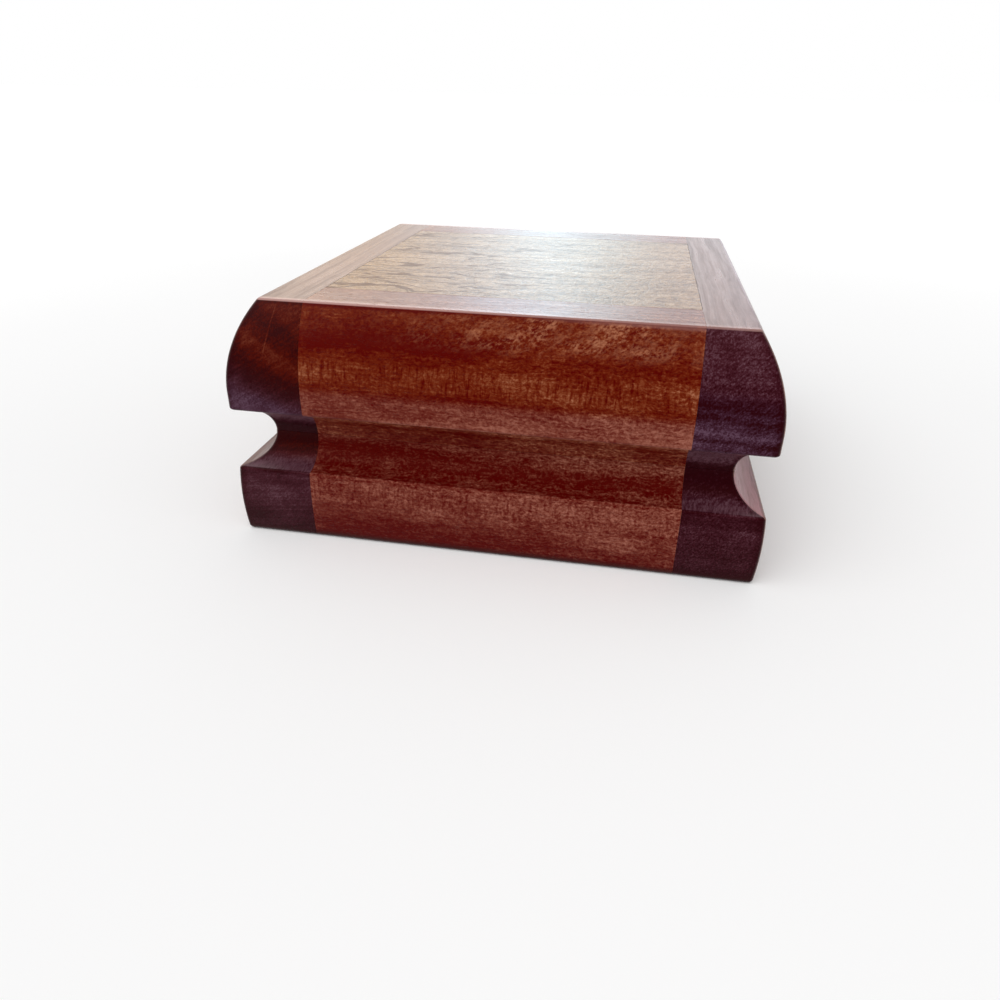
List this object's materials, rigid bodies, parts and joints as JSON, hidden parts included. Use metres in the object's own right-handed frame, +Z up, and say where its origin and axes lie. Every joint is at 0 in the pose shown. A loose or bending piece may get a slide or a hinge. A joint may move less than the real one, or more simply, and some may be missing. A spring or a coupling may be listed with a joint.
{
  "type": "trinket box",
  "caption": "Square wooden trinket box with a swelling moulded lid hinged at the back, a half-round finger groove all round and a felt-lined inside.",
  "frame": {"origin": "middle of the underside, on the surface the box stands on", "axes": "+Z up, -Y the front, +X to the right as seen from the front; the lid is hinged at the back, on the +Y side"},
  "size_m": [0.171, 0.171, 0.078],
  "materials": {
    "dark_wood": "glossy oiled end boards",
    "red_wood": "glossy oiled rails with ripple figure",
    "figured_wood": "glossy figured top panel",
    "floor_wood": "plain sanded bottom panel",
    "dowel_wood": "bare beech dowel",
    "felt": "felt-covered pad",
    "brass": "satin brass"
  },
  "bodies": {
    "base": {"base_back_left_dowel_1": "dowel_wood", "base_back_left_dowel_2": "dowel_wood", "base_back_rail": "red_wood", "base_back_right_dowel_1": "dowel_wood", "base_back_right_dowel_2": "dowel_wood", "base_bottom_panel": "floor_wood", "base_felt_lining": "felt", "base_front_left_dowel_1": "dowel_wood", "base_front_left_dowel_2": "dowel_wood", "base_front_rail": "red_wood", "base_front_right_dowel_1": "dowel_wood", "base_front_right_dowel_2": "dowel_wood", "base_left_end": "dark_wood", "base_right_end": "dark_wood", "left_hinge_base_leaf": "brass", "left_hinge_base_screw_1": "brass", "left_hinge_base_screw_2": "brass", "left_hinge_base_screw_3": "brass", "left_hinge_pin": "brass", "right_hinge_base_leaf": "brass", "right_hinge_base_screw_1": "brass", "right_hinge_base_screw_2": "brass", "right_hinge_base_screw_3": "brass", "right_hinge_pin": "brass"},
    "lid": {"left_hinge_lid_leaf": "brass", "left_hinge_lid_screw_1": "brass", "left_hinge_lid_screw_2": "brass", "left_hinge_lid_screw_3": "brass", "lid_back_left_dowel_1": "dowel_wood", "lid_back_left_dowel_2": "dowel_wood", "lid_back_rail": "red_wood", "lid_back_right_dowel_1": "dowel_wood", "lid_back_right_dowel_2": "dowel_wood", "lid_front_left_dowel_1": "dowel_wood", "lid_front_left_dowel_2": "dowel_wood", "lid_front_rail": "red_wood", "lid_front_right_dowel_1": "dowel_wood", "lid_front_right_dowel_2": "dowel_wood", "lid_left_end": "dark_wood", "lid_right_end": "dark_wood", "lid_top_panel": "figured_wood", "right_hinge_lid_leaf": "brass", "right_hinge_lid_screw_1": "brass", "right_hinge_lid_screw_2": "brass", "right_hinge_lid_screw_3": "brass"}
  },
  "joints": [
    {"name": "lid_hinge", "type": "hinge", "parent": "base", "child": "lid", "pos_m": [0, 0.078, 0.034], "axis": [-1, 0, 0], "range_deg": [0, 108]}
  ]
}
